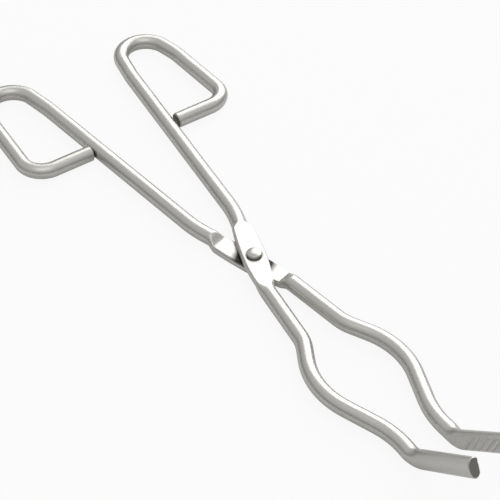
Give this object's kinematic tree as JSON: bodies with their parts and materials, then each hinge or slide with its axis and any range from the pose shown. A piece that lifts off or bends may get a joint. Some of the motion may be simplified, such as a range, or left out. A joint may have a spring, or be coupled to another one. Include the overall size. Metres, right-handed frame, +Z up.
{
  "type": "crucible tongs",
  "caption": "Scissor-action tongs of bent round stainless rod with finger loops, a riveted pressed lap, a bow for a crucible and upturned serrated tips.",
  "frame": {"origin": "where the rivet's axis meets the plane that the tongs lie on", "axes": "+Z up along the rivet's axis, +Y from the finger loops to the tips, +X towards the lower arm's finger loop"},
  "size_m": [0.0848, 0.2523, 0.0263],
  "materials": {
    "arm_steel": "polished",
    "rivet_steel": "polished"
  },
  "bodies": {
    "lower": {"lower_arm": "arm_steel", "pivot_rivet": "rivet_steel"},
    "upper": {"upper_arm": "arm_steel"}
  },
  "joints": [
    {"name": "pivot", "type": "hinge", "parent": "lower", "child": "upper", "pos_m": [0, 0, 0], "axis": [0, 0, 1], "range_deg": [-110, 5.8]}
  ]
}
